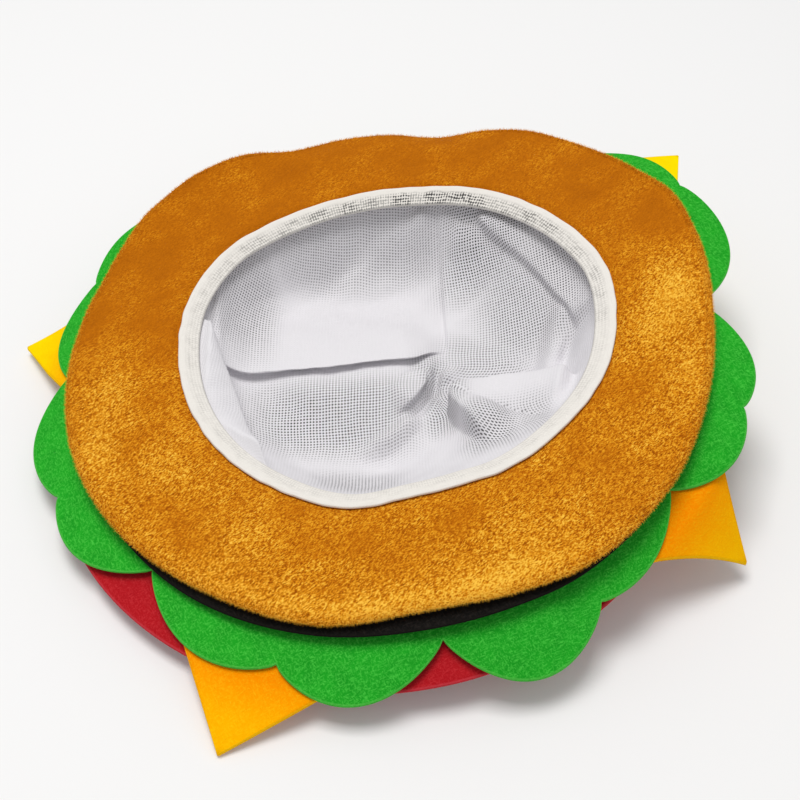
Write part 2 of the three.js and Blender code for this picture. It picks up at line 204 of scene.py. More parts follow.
def bridge(low, high, slope_low, slope_high, part):
    """A cubic between two values with the slopes given there, at a part of 0 to 1."""
    square, cube = part**2, part**3
    return (
        low * (2 * cube - 3 * square + 1)
        + slope_low * (cube - 2 * square + part)
        + high * (3 * square - 2 * cube)
        + slope_high * (cube - square)
    )


def around(rows, column, turn):
    """Value of a column at turns, on a smooth closed curve through the table's rows."""
    knots, values = rows["turn"], rows[column]
    count = len(knots)
    at = np.mod(np.asarray(turn, float) - knots[0], TURN)
    low = np.searchsorted(knots - knots[0], at, side="right") - 1

    def gap(first, last):
        return np.mod(knots[(low + last) % count] - knots[(low + first) % count], TURN)

    def value(shift):
        return values[(low + shift) % count]

    span = gap(0, 1)
    part = (at - (knots[low] - knots[0])) / span
    slope_low = (value(1) - value(-1)) / gap(-1, 1) * span
    slope_high = (value(2) - value(0)) / gap(0, 2) * span
    return bridge(value(0), value(1), slope_low, slope_high, part)


def brim_height(turn, reach):
    """Height of the lower bun's plane."""
    slope = BRIM["climb_x"] * np.cos(np.radians(turn)) + BRIM["climb_y"] * np.sin(np.radians(turn))
    return BRIM["height"] + slope * reach


# A wobble's number of waves, and their shortest and longest length as shares of its size
WAVES = {"number": 9, "lengths": (0.7, 1.6)}


def wobble(x, y, size, seed):
    """Smooth random relief of about -1 to 1, with features of a size in mm."""
    chance = np.random.default_rng(seed)
    total = np.zeros(np.broadcast(x, y).shape)
    for _ in range(WAVES["number"]):
        heading, phase = chance.uniform(0, 2 * np.pi, 2)
        length = size * chance.uniform(*WAVES["lengths"])
        along = x * np.cos(heading) + y * np.sin(heading)
        total += np.sin(2 * np.pi * along / length + phase)
    return total / np.sqrt(WAVES["number"])


def plan(turn, reach):
    """Plan coordinates about the hat's axis."""
    return reach * np.cos(np.radians(turn)), reach * np.sin(np.radians(turn))


def smooth(value, low, high):
    """0 below low, 1 above high and a smooth step between."""
    part = np.clip((value - low) / (high - low), 0, 1)
    return part * part * (3 - 2 * part)


def depths():
    """How far the top of each layer of the stack lies below the brim plane."""
    below, stack = {}, BUN_THICK
    for layer, gap in LAYER_GAPS.items():
        below[layer] = stack + gap
        stack = below[layer] + FELT_THICK
    return below


LAYER_DEPTH = depths()


def felt_height(layer, turn, reach):
    """Height of a loose felt layer's top."""
    past = np.maximum(reach - FELT["leave"], 0) / (FELT["reach"] - FELT["leave"])
    droop = around(DROOP, "drop", turn) * past ** FELT["power"]
    return brim_height(turn, reach) - LAYER_DEPTH[layer] - droop


def make_piece(name, points, faces, material, nodes=(), values=None, uv=None, wrap=None):
    """A smooth mesh piece from points about the hat's axis, which stands for CAD nodes.

    A cloth that goes all round is made of quads, and wrap is its length.
    """
    mesh = bpy.data.meshes.new(name)
    placed = (np.asarray(points, float) + AXIS) * MM
    mesh.from_pydata(placed.tolist(), [], [face.tolist() for face in faces])
    mesh.polygons.foreach_set("use_smooth", np.ones(len(mesh.polygons), bool))
    for column, data in (values or {}).items():
        layer = mesh.attributes.new(column, "FLOAT", "POINT")
        layer.data.foreach_set("value", np.asarray(data, np.float32).ravel())
    if uv is not None:
        corners = np.zeros(len(mesh.loops), np.int32)
        mesh.loops.foreach_get("vertex_index", corners)
        laid = np.asarray(uv, np.float32)[corners]
        if wrap:
            quads = laid.reshape(-1, 4, 2)
            far = quads[..., 0].max(1, keepdims=True) - quads[..., 0] > wrap / 2
            quads[..., 0] += wrap * far
        mesh.uv_layers.new(name="cloth").data.foreach_set("uv", laid.ravel())
    mesh.materials.append(material)
    mesh.update()
    piece = bpy.data.objects.new(name, mesh)
    bpy.context.scene.collection.objects.link(piece)
    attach(piece, "root")
    if nodes:
        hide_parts(*nodes)
    return piece


def tube_faces(turns, size, closed=True):
    """Quads between neighbouring sections of a ring, each a loop of size points."""
    first = np.arange(turns)[:, None] * size
    after = (np.arange(turns)[:, None] + 1) % turns * size
    here = np.arange(size if closed else size - 1)[None, :]
    there = (here + 1) % size
    return np.stack([first + here, first + there, after + there, after + here], -1).reshape(-1, 4)


def section_points(turns, reach, height):
    """Points of sections at turns, from arrays of reach and height with a row to a turn."""
    x, y = plan(turns[:, None], reach)
    return np.stack([x, y, height], -1).reshape(-1, 3)


# A cut edge: how far it bulges, and how low its points lie outside and inside, as shares of the
# sheet's thickness
CUT_EDGE = {"bulge": 0.25, "outside": [0.3, 0.7], "inside": 0.5}

# Power that crowds a felt ring's rows of points towards its outer edge
CROWDING = 0.8


def sheet_section(turns, top_reach, top_height, thickness):
    """Points of a flat ring's closed sections, how many each has and how far in they lie."""
    edge = CUT_EDGE["bulge"] * thickness
    inner, outer = top_reach[:, :1], top_reach[:, -1:]
    nose = np.concatenate([outer + edge, outer + edge], 1)
    nose_height = top_height[:, -1:] - np.array([CUT_EDGE["outside"]]) * thickness
    reach = np.concatenate([top_reach, nose, top_reach[:, ::-1], inner - edge], 1)
    under = top_height[:, ::-1] - thickness
    heel = top_height[:, :1] - CUT_EDGE["inside"] * thickness
    height = np.concatenate([top_height, nose_height, under, heel], 1)
    distance = np.maximum(outer - reach, 0)
    return section_points(turns, reach, height), reach.shape[1], distance


def felt_ring(name, layer, turns, outer, rows, material):
    """A felt ring of the stack with the given outer edge and rows of points across it."""
    inner = around(BUN, "opening", turns) + FELT["seam"]
    share = np.linspace(0, 1, rows)[None, :] ** CROWDING
    reach = inner[:, None] + (outer - inner)[:, None] * share
    height = felt_height(layer, turns[:, None], reach)
    points, size, distance = sheet_section(turns, reach, height, FELT_THICK)
    faces = tube_faces(len(turns), size)
    return make_piece(name, points, faces, material, (layer,), {"edge": distance})


class Graph:
    """A material's node tree, filled by short calls."""

    def __init__(self, name, settings):
        self.material = bpy.data.materials.new(name)
        self.material.use_nodes = True
        self.tree = self.material.node_tree
        self.surface = self.tree.nodes["Principled BSDF"]
        for socket, value in settings.items():
            self.surface.inputs[socket].default_value = value
        self.place = self.add("ShaderNodeTexCoord").outputs["Object"]

    def add(self, kind, inputs=None, **settings):
        """A new node with its settings and inputs, which are values or other nodes' outputs."""
        made = self.tree.nodes.new(kind)
        for setting, value in settings.items():
            setattr(made, setting, value)
        for socket, value in (inputs or {}).items():
            self.feed(made.inputs[socket], value)
        return made

    def feed(self, socket, value):
        """Links an output to a socket, or sets the socket's value."""
        if isinstance(value, bpy.types.NodeSocket):
            self.tree.links.new(value, socket)
        else:
            socket.default_value = value

    def grain(self, size, stretch=1, heading=0, detail=2):
        """Noise with features of a size in mm, drawn out along a heading in degrees."""
        long, short = size * stretch * MM, size * MM
        turned = (0, 0, math.radians(heading))
        placing = {"Vector": self.place, "Rotation": turned, "Scale": (long, short, short)}
        mapped = self.add("ShaderNodeMapping", placing, vector_type="TEXTURE").outputs[0]
        noise = self.add("ShaderNodeTexNoise", {"Vector": mapped, "Scale": 1, "Detail": detail})
        return noise.outputs["Fac"]

    def span(self, value, low, high, start=0, end=1):
        """A value from low to high brought to start to end, and held there outside."""
        made = self.add(
            "ShaderNodeMapRange",
            {"Value": value, "From Min": low, "From Max": high, "To Min": start, "To Max": end},
        )
        return made.outputs["Result"]

    def reckon(self, operation, first, second=0.0):
        """Arithmetic on one value or two."""
        return self.add("ShaderNodeMath", {0: first, 1: second}, operation=operation).outputs[0]

    def mix(self, share, first, second):
        """A mix of two colours, which are the node's inputs 6 and 7 and its output 2."""
        made = self.add("ShaderNodeMix", {0: share, 6: first, 7: second}, data_type="RGBA")
        return made.outputs[2]

    def value(self, name):
        """A number that the mesh carries at its points."""
        return self.add("ShaderNodeAttribute", attribute_name=name).outputs["Fac"]

    def finish(self, shade, relief, depth):
        """The material with its colour and a bump from a relief of 0 to 1, its depth in mm."""
        self.feed(self.surface.inputs["Base Color"], shade)
        bump = self.add("ShaderNodeBump", {"Height": relief, "Strength": 1, "Distance": depth * MM})
        self.feed(self.surface.inputs["Normal"], bump.outputs["Normal"])
        return self.material


def colour(red, green, blue):
    """A colour of 0 to 255 as shown on a screen, as the shader's linear one."""
    shown = np.array([red, green, blue]) / 255
    linear = np.where(shown <= 0.04045, shown / 12.92, ((shown + 0.055) / 1.055) ** 2.4)
    return (*linear.tolist(), 1.0)


# Tones of the pile from dark to bright, and how much brightness lies between them
PLUSH_TONES = [
    colour(*tone) for tone in ((150, 76, 6), (194, 111, 12), (230, 156, 32), (250, 196, 72))
]
PLUSH_STEP = 0.33


def plush_material():
    """Short golden brown pile: fine specks that grow stronger, and painted sheen that lightens it,
    where brushed.
    """
    graph = Graph(
        "plush",
        {"Roughness": 0.85, "Sheen Weight": 0.05, "Sheen Roughness": 0.4, "Specular IOR Level": 0.03},
    )
    graph.surface.inputs["Sheen Tint"].default_value = colour(255, 190, 80)
    specks = graph.reckon("MULTIPLY", graph.grain(0.42, stretch=2.4, heading=38), 0.65)
    tufts = graph.reckon("MULTIPLY", graph.grain(1.0, stretch=2.4, heading=48), 0.35)
    cloudy = graph.grain(12, stretch=1.6, heading=35, detail=4)
    fine = graph.reckon("ADD", specks, tufts)
    # Painted sheen of the brushed pile, carried by the mesh, lifts the tone and strengthens the specks
    lifted = graph.reckon("ADD", graph.value("brushed_sheen"), graph.span(cloudy, 0.3, 0.7, -0.06, 0.06))
    strength = graph.span(lifted, 0.24, 0.46, 0.08, 0.55)
    speck = graph.reckon("MULTIPLY", graph.span(fine, 0.36, 0.64, -1, 1), strength)
    bright = graph.reckon("ADD", lifted, speck)
    shown = PLUSH_TONES[0]
    for index, tone in enumerate(PLUSH_TONES[1:]):
        low = index * PLUSH_STEP
        shown = graph.mix(graph.span(bright, low, low + PLUSH_STEP), shown, tone)
    return graph.finish(shown, fine, depth=0.8)


def felt_material(name, *tones):
    """Pressed felt of a base tone with lighter fibres, darker clouds and a paler cut edge.

    With a fifth tone, for a tip, it turns to that where the mesh says: painted light on the cheese.
    """
    base, light, dark, edge, *tip = (colour(*tone) for tone in tones)
    graph = Graph(name, {"Roughness": 0.95, "Sheen Weight": 0.05, "Specular IOR Level": 0.02})
    graph.surface.inputs["Sheen Tint"].default_value = light
    first = graph.grain(0.5, stretch=4, heading=25)
    second = graph.grain(0.5, stretch=4, heading=115)
    fibre = graph.reckon("MAXIMUM", first, second)
    clouds = graph.grain(7, detail=4)
    if tip:
        # Painted light: the mesh's tone turns the felt towards the tip colour
        toned = graph.span(graph.value("tone"), 0, 1)
        base, light = graph.mix(toned, base, *tip), graph.mix(toned, light, *tip)
        dark = graph.mix(graph.reckon("MULTIPLY", toned, 0.6), dark, *tip)
    darker = graph.mix(graph.span(clouds, 0.35, 0.75, 0, 0.45), base, dark)
    body = graph.mix(graph.span(fibre, 0.5, 0.72, 0, 0.7), darker, light)
    cut = graph.span(graph.value("edge"), 0.0, 0.4, 0.5, 0)
    return graph.finish(graph.mix(cut, body, edge), fibre, depth=0.3)


# How much of the dots' colour shows between them where they are plainest, as painted shade on the cloth
THIN_SHARE = 0.06


def dotted_material(name, base, dot, pitch, uneven, wide=0.0):
    """White cloth with a lattice of small dots that show where the mesh says, on the lining also as
    painted shade.

    Pitch is their distance in mm, uneven how much their size changes and wide how much it grows.
    """
    graph = Graph(name, {"Roughness": 0.8, "Specular IOR Level": 0.25})
    cloth = graph.add("ShaderNodeUVMap", uv_map="cloth").outputs["UV"]
    split = graph.add("ShaderNodeSeparateXYZ", {"Vector": cloth})
    across = graph.reckon("MULTIPLY", split.outputs["X"], 2 * math.pi / pitch)
    along = graph.reckon("MULTIPLY", split.outputs["Y"], 2 * math.pi / pitch)
    waves = graph.reckon("ADD", graph.reckon("COSINE", across), graph.reckon("COSINE", along))
    rough = graph.span(graph.grain(1.6), 0.3, 0.7, wide - uneven, wide + uneven)
    waves = graph.reckon("ADD", waves, rough)
    dots = graph.span(waves, 0.5, 0.95)
    shown = graph.reckon("MULTIPLY", dots, graph.value("dots"))
    thin = graph.mix(graph.span(graph.value("dots"), 0, 1, 0, THIN_SHARE), base, dot)
    raised = graph.span(waves, -2, 1.4, 1, 0)
    return graph.finish(graph.mix(shown, thin, dot), raised, depth=0.12)


PLUSH = plush_material()
# The patty's near-black is dark felt with the shade under the bun's rim painted in
PATTY_SHADED_FELT = felt_material("patty_felt", (22, 21, 20), (44, 40, 38), (14, 13, 13), (28, 26, 24))
LETTUCE_FELT = felt_material(
    "lettuce_felt", (32, 162, 37), (84, 210, 76), (18, 126, 27), (92, 196, 80)
)
CHEESE_FELT = felt_material(
    "cheese_felt", (252, 142, 0), (255, 176, 20), (250, 136, 0), (255, 206, 30), (255, 226, 2)
)
TOMATO_FELT = felt_material(
    "tomato_felt", (178, 26, 34), (204, 52, 58), (164, 20, 30), (208, 70, 80)
)
TAPE_CLOTH = dotted_material(
    "binding_tape", colour(230, 226, 220), colour(34, 34, 36), pitch=1.15, uneven=1.1, wide=0.6
)
LINING_CLOTH = dotted_material(
    "lining_cloth", colour(225, 223, 227), colour(14, 10, 10), pitch=1.35, uneven=0.25
)

# Painted sheen and shade where the pile is brushed, lighter or darker: turn, reach, their spreads and
# how much
SHEEN_PATCHES = table(
    "turn reach turn_spread reach_spread amount",
    [
        (7, 118, 9, 11, 0.34),
        (356, 106, 8, 9, 0.2),
        (343, 122, 9, 7, 0.1),
        (313, 116, 10, 10, -0.08),
        (298, 113, 12, 8, 0.1),
        (189, 115, 8, 10, 0.2),
        (202, 125, 10, 7, 0.16),
        (214, 106, 8, 7, 0.12),
        (241, 107, 8, 8, 0.1),
        (262, 130, 30, 5, 0.22),
        (286, 128, 16, 9, 0.24),
        (268, 99, 26, 12, -0.06),
        (228, 118, 14, 10, -0.05),
        (335, 104, 10, 8, -0.06),
    ],
)

# Painted sheen from the lay of the pile on the far and on the near side, the turn of the near
# side's middle, the cosines of the turn from there between which it changes, and its clouds of chance
PILE_SHEEN = {"far": 0.27, "near": 0.42, "middle": 278, "between": (-0.6, 0.45)}
SHEEN_CHANCE = {"amount": 0.02, "size": 26}


def pile_sheen(turn, reach):
    """Painted sheen: how far the pile lies towards the light, from the brushed patches."""
    near = smooth(np.cos(np.radians(turn - PILE_SHEEN["middle"])), *PILE_SHEEN["between"])
    brushed_sheen = PILE_SHEEN["far"] + (PILE_SHEEN["near"] - PILE_SHEEN["far"]) * near + np.zeros(np.broadcast(turn, reach).shape)
    for at, out, wide, deep, amount in zip(*SHEEN_PATCHES.values()):
        aside = (np.mod(turn - at + TURN / 2, TURN) - TURN / 2) / wide
        brushed_sheen = brushed_sheen + amount * np.exp(-(aside**2) - ((reach - out) / deep) ** 2)
    x, y = plan(turn, reach)
    return brushed_sheen + SHEEN_CHANCE["amount"] * wobble(x, y, SHEEN_CHANCE["size"], seed=4)


# Top of the bun: share of its width that stays flat before it curls, its dents' height and size,
# and how far outside the opening the dents and the edge of the tape's seat begin and end
BUN_TOP = {"flat": 0.5, "dent": 0.35, "size": 30, "dents": (2, 12), "seat": (2.5, 6)}


def bun_level(turn, reach):
    """Height of the lower bun as it curls, without its dents and its rounded rim."""
    inner = around(BUN, "opening", turn)
    outer = around(BUN, "edge", turn) - BUN_THICK / 2
    flat = inner + (outer - inner) * BUN_TOP["flat"]
    share = np.clip((reach - flat) / (outer - flat), 0, 1)
    return brim_height(turn, reach) + around(BUN, "curl", turn) * share**2


def bun_top(turn, reach):
    """Height of the lower bun's top with its dents and the seat that the tape presses in."""
    past = reach - around(BUN, "opening", turn)
    x, y = plan(turn, reach)
    dents = BUN_TOP["dent"] * wobble(x, y, BUN_TOP["size"], seed=2) * smooth(past, *BUN_TOP["dents"])
    pressed = TAPE_PRESS * (1 - smooth(past, *BUN_TOP["seat"]))
    return bun_level(turn, reach) + dents - pressed


# Rounded rim of the bun: how deep it is, and its steps
RIM = {"deep": 3.2, "steps": 9}

# Points of the bun: turn between sections, points across its top and how many its underside
# skips
BUN_GRID = {"turn": 0.6, "across": 54, "skip": 6}


def bottom_bun():
    """Lower bun: a padded plush ring with a round rim."""
    turns = np.arange(0, TURN, BUN_GRID["turn"])
    inner = around(BUN, "opening", turns)[:, None]
    outer = around(BUN, "edge", turns)[:, None]
    column = turns[:, None]
    share = np.linspace(0, 1, BUN_GRID["across"])[None, :]
    top_reach = inner + (outer - RIM["deep"] - inner) * share
    top = bun_top(column, top_reach)
    bend = np.linspace(90, -90, RIM["steps"] + 2)[None, 1:-1]
    rim_reach = outer - RIM["deep"] + RIM["deep"] * np.cos(np.radians(bend))
    middle = bun_top(column, outer) - BUN_THICK / 2
    rim = middle + BUN_THICK / 2 * np.sin(np.radians(bend))
    under_reach = top_reach[:, :: -BUN_GRID["skip"]]
    under = bun_level(column, under_reach) - BUN_THICK
    reach = np.concatenate([top_reach, rim_reach, under_reach], 1)
    height = np.concatenate([top, rim, under], 1)
    points = section_points(turns, reach, height)
    # Painted sheen of the brushed pile, which the plush colour reads
    brushed_sheen = pile_sheen(np.broadcast_to(column, reach.shape), reach)
    faces = tube_faces(len(turns), reach.shape[1])
    return make_piece("bun_lower", points, faces, PLUSH, ("bottom_bun",), {"brushed_sheen": brushed_sheen})


# Pile that stands out from the bun's rim: number of tufts, the bends of the rim that they grow
# between, their lengths out of the rim and into it, their width and how far they stray
PILE = {"tufts": 30000, "bends": (-70, 95), "lengths": (0.5, 1.4), "root": 0.3, "width": 0.16}
STRAY = 0.45

# Painted highlight on the tufts: how much brighter than the pile around them, at the root and more at
# the tip
TUFT_SHEEN = {"root": 0.1, "tip": 0.45}


def rim_pile():
    """Tufts of pile round the rim of the lower bun, one thin triangle each."""
    chance = np.random.default_rng(seed=11)
    count = PILE["tufts"]
    turn = chance.uniform(0, TURN, count)
    bend = np.radians(chance.uniform(*PILE["bends"], count))
    edge = around(BUN, "edge", turn)
    reach = edge - RIM["deep"] + RIM["deep"] * np.cos(bend)
    middle = bun_top(turn, edge) - BUN_THICK / 2
    x, y = plan(turn, reach)
    root = np.stack([x, y, middle + BUN_THICK / 2 * np.sin(bend)], -1)
    up = np.array([0, 0, 1.0])
    out = np.stack([*plan(turn, 1), np.zeros(count)], -1)
    out = out * np.cos(bend)[:, None] + up * np.sin(bend)[:, None]
    heading = out + chance.normal(0, STRAY, (count, 3))
    heading /= np.linalg.norm(heading, axis=1)[:, None]
    side = np.cross(heading, up)
    side /= np.linalg.norm(side, axis=1)[:, None]
    length = chance.uniform(*PILE["lengths"], count)[:, None]
    foot, half = root - heading * PILE["root"], side * PILE["width"] / 2
    points = np.stack([foot - half, foot + half, root + heading * length], 1).reshape(-1, 3)
    faces = np.arange(count * 3).reshape(-1, 3)
    # Painted highlight on the tufts, brightest at their tips
    brushed_sheen = np.repeat(pile_sheen(turn, reach)[:, None] + TUFT_SHEEN["root"], 3, axis=1)
    brushed_sheen[:, 2] += TUFT_SHEEN["tip"]
    return make_piece("bun_pile", points, faces, PLUSH, (), {"brushed_sheen": brushed_sheen})


# Turn between the sections of the patty and the tomato, and points across the felt rings
FELT_STEP = 1.0
ACROSS = {"patty": 26, "lettuce": 26, "tomato": 22}

# Where the patty stops curling, as a share of the bun's curled width
PATTY_PAST = 1.1


def patty():
    """Patty: dark felt close under the bun, following it where its rim curls down, its near-black
    partly painted shade.
    """
    turns = np.arange(0, TURN, FELT_STEP)
    column = turns[:, None]
    inner = around(BUN, "opening", turns)[:, None]
    outer = around(BUN, "edge", turns)[:, None] - BUN_THICK / 2
    flat = inner + (outer - inner) * BUN_TOP["flat"]
    curl = np.minimum(around(BUN, "curl", turns), 0)[:, None] - PATTY_DROOP
    edge = around(BUN, "patty", turns)[:, None]
    across = np.linspace(0, 1, ACROSS["patty"])[None, :]
    reach = inner + FELT["seam"] + (edge - inner - FELT["seam"]) * across
    share = np.clip((reach - flat) / (outer - flat), 0, PATTY_PAST)
    height = brim_height(column, reach) - LAYER_DEPTH["patty"] + curl * share**2
    points, size, distance = sheet_section(turns, reach, height, FELT_THICK)
    faces = tube_faces(len(turns), size)
    values = {"edge": distance}
    return make_piece("patty_ring", points, faces, PATTY_SHADED_FELT, ("patty",), values)


# Steps across each lettuce lobe
LOBE_STEPS = 40


def lettuce():
    """Lettuce: a felt ring cut in round lobes."""
    starts = LOBES["turn"]
    span = np.mod(np.roll(starts, -1) - starts, TURN)
    part = np.arange(LOBE_STEPS) / LOBE_STEPS
    turns = (starts[:, None] + span[:, None] * part).ravel()
    notch, after = LOBES["notch"][:, None], np.roll(LOBES["notch"], -1)[:, None]
    rise = LOBES["tip"][:, None] - (notch + after) / 2
    arch = np.sin(np.pi * part)[None, :] ** LOBE_FULLNESS
    outer = (notch + (after - notch) * part + rise * arch).ravel()
    across = ACROSS["lettuce"]
    return felt_ring("lettuce_ring", "lettuce", turns, outer, across, LETTUCE_FELT)


def tomato():
    """Tomato: a round felt slice under the cheese, a little off the hat's axis."""
    turns = np.arange(0, TURN, FELT_STEP)
    ahead, aside = plan(turns, 1)
    towards = TOMATO["x"] * ahead + TOMATO["y"] * aside
    beside = TOMATO["x"] * aside - TOMATO["y"] * ahead
    outer = towards + np.sqrt(TOMATO["radius"] ** 2 - beside**2)
    across = ACROSS["tomato"]
    return felt_ring("tomato_ring", "tomato", turns, outer, across, TOMATO_FELT)


# Painted light: how much yellower a cheese corner gets towards its lit tip, and the reach where that
# begins
CHEESE_TIP_LIGHT = {"rise": 0.8, "from": 125}

# Points along and across a cheese corner
CORNER_GRID = {"along": 44, "across": 25}


def cheese_corner(index):
    """One cheese corner: a felt flap with straight sides, whose tip hangs past the tomato."""
    turn, reach, height, start, end, leave, tone = (CORNERS[name][index] for name in CORNERS)
    tip_half = math.degrees(CHEESE["tip_width"] / 2 / reach)

    def side(first, last):
        corners = [(first, CHEESE["root"]), (first, CHEESE["side"]), (last, reach)]
        return np.array([plan(at, out) for at, out in corners])

    rows = np.linspace(0, 2, CORNER_GRID["along"])
    leg = np.minimum(rows.astype(int), 1)
    left, right = side(start, turn - tip_half), side(end, turn + tip_half)
    part = (rows - leg)[:, None]
    low, high = (line[leg] + (line[leg + 1] - line[leg]) * part for line in (left, right))
    column = np.linspace(0, 1, CORNER_GRID["across"])[None, :, None]
    spot = low[:, None] + (high - low)[:, None] * column
    out = np.hypot(spot[..., 0], spot[..., 1])
    at = np.degrees(np.arctan2(spot[..., 1], spot[..., 0]))
    resting = felt_height("cheese", at, np.minimum(out, leave))
    past = np.clip((out - leave) / (reach - leave), 0, 1)
    level = resting + (height + FELT_THICK - resting) * past
    top = np.stack([spot[..., 0], spot[..., 1], level], -1)
    width = np.linalg.norm(high - low, axis=1)[:, None]
    distance = width * np.minimum(column[..., 0], 1 - column[..., 0])
    # Painted light and shade: the tone runs from a shaded orange root to a lit yellow tip
    tones = tone + CHEESE_TIP_LIGHT["rise"] * (smooth(out, CHEESE_TIP_LIGHT["from"], reach) - 0.5)
    return flap(f"cheese_flap_{index + 1}", top, distance, tones, (f"cheese_{index + 1}",))


def flap(name, top, distance, tones, nodes):
    """A felt flap from a grid of top points, with its underside and cut edges."""
    rows, columns = top.shape[:2]
    under = top - np.array([0, 0, FELT_THICK])
    points = np.concatenate([top.reshape(-1, 3), under.reshape(-1, 3)])
    index = np.arange(rows * columns).reshape(rows, columns)
    grid = np.stack([index[:-1, :-1], index[1:, :-1], index[1:, 1:], index[:-1, 1:]], -1).reshape(-1, 4)
    shift = rows * columns
    loop = np.concatenate([index[0], index[1:, -1], index[-1, -2::-1], index[-2:0:-1, 0]])
    after = np.roll(loop, -1)
    rim = np.stack([loop, after, after + shift, loop + shift], -1)
    faces = np.concatenate([grid, grid[:, ::-1] + shift, rim])
    values = {"edge": np.tile(distance.ravel(), 2), "tone": np.tile(tones.ravel(), 2)}
    return make_piece(name, points, faces, CHEESE_FELT, nodes, values)


# Points of the tape: turn between sections and points across its top
TAPE_GRID = {"turn": 0.5, "across": 14}

# Reach of the tape's middle, and a reach outside it where its edge's unevenness is read
TAPE_REACH = {"middle": 86, "outside": 90}

# Tape: how uneven its outer edge is and how high it puckers, with the sizes of both, how its
# outer part rolls up and how far its edge comes down again
TAPE_FORM = {"uneven": 0.16, "uneven_size": 13, "pucker": 0.26, "pucker_size": 5}
TAPE_ROLL = {"up": 0.35, "rise": (0.7, 0.85), "down": 0.2, "fall": (0.9, 1)}

# Dots of the tape: their least strength and how much stronger they get about a turn, over a
# spread of turns, the size and least strength of their patches, and the part of its width
# where they end
TAPE_DOTS = {"least": 0.15, "rise": 0.8, "turn": 78, "spread": 54, "end": (0.5, 0.62)}
TAPE_PATCHES = {"size": 12, "least": 0.55, "from": (-0.6, 0.4)}


def tape_dots(column, reach, strip):
    """How strongly the tape's dots show, at lengths across its strip."""
    far = np.exp(-(((column - TAPE_DOTS["turn"]) / TAPE_DOTS["spread"]) ** 2))
    spots = smooth(wobble(*plan(column, reach), TAPE_PATCHES["size"], seed=7), *TAPE_PATCHES["from"])
    patchy = TAPE_PATCHES["least"] + (1 - TAPE_PATCHES["least"]) * spots
    hidden = np.ones((len(column), strip.shape[1] - patchy.shape[1]))
    patchy = np.concatenate([patchy, hidden], 1)
    shown = 1 - smooth(np.minimum(strip / TAPE["width"], 1), *TAPE_DOTS["end"])
    return shown * patchy * (TAPE_DOTS["least"] + TAPE_DOTS["rise"] * far)


def binding():
    """Binding: a folded tape over the edge of the opening, a little puckered."""
    turns = np.arange(0, TURN, TAPE_GRID["turn"])
    column = turns[:, None]
    edge = around(BUN, "opening", turns)[:, None]
    outside = plan(column, TAPE_REACH["outside"])
    uneven = TAPE_FORM["uneven"] * wobble(*outside, TAPE_FORM["uneven_size"], seed=5)
    outer = edge + TAPE["lap"] + uneven
    inner = edge + TAPE["lap"] - TAPE["width"]
    share = np.linspace(0, 1, TAPE_GRID["across"])[None, :]
    reach = inner + (outer - inner) * share
    dip = np.maximum(edge - reach, 0) / (edge - inner)
    pucker = TAPE_FORM["pucker"] * wobble(*plan(column, reach), TAPE_FORM["pucker_size"], seed=6)
    up = TAPE_ROLL["up"] * smooth(share, *TAPE_ROLL["rise"])
    roll = up - TAPE_ROLL["down"] * smooth(share, *TAPE_ROLL["fall"])
    level = brim_height(column, reach) + SEAT + TAPE_THICK - TAPE_PRESS
    height = level - TAPE["dip"] * dip + pucker * np.sin(np.pi * share) + roll
    points, size, _ = sheet_section(turns, reach, height, TAPE_THICK)
    strip = np.arange(size)[None, :] * TAPE["width"] / TAPE_GRID["across"]
    strip = np.broadcast_to(strip, (len(turns), size))
    degree = math.radians(1) * TAPE_REACH["middle"]
    length = np.broadcast_to(column * degree, strip.shape)
    return make_piece(
        "binding_band",
        points,
        tube_faces(len(turns), size),
        TAPE_CLOTH,
        ("binding",),
        {"dots": tape_dots(column, reach, strip)},
        np.stack([length, strip], -1).reshape(-1, 2),
        TURN * degree,
    )


# Points of the crown: turn between sections, points along its outside and across its top, how
# many its inside skips, and how often its profile is rounded off
CROWN_GRID = {"turn": 0.75, "outside": 64, "top": 8, "skip": 4, "rounding": 6}

# Crown's soft creases down its side: their depth, their share of it, size and seed, and the
# reach that they are read at; and its sag, which drifts round with height
CREASE_DEPTH = 1.2
CREASES = table("share size seed", [(1, 22, 8), (0.6, 11, 9)])
CREASE_REACH = 40
SAG = {"height": 1.3, "size": 20, "reach": 70, "drift": 60}

# Reaches between which the crown's inside gets its full distance from the outside
CROWN_INSIDE = (60, 110)

# Crown's painted sheen from the pile's lay: the reach on the bun that it is read at, and how much
# darker it is
CROWN_SHEEN = {"reach": 118, "darker": 0.1}


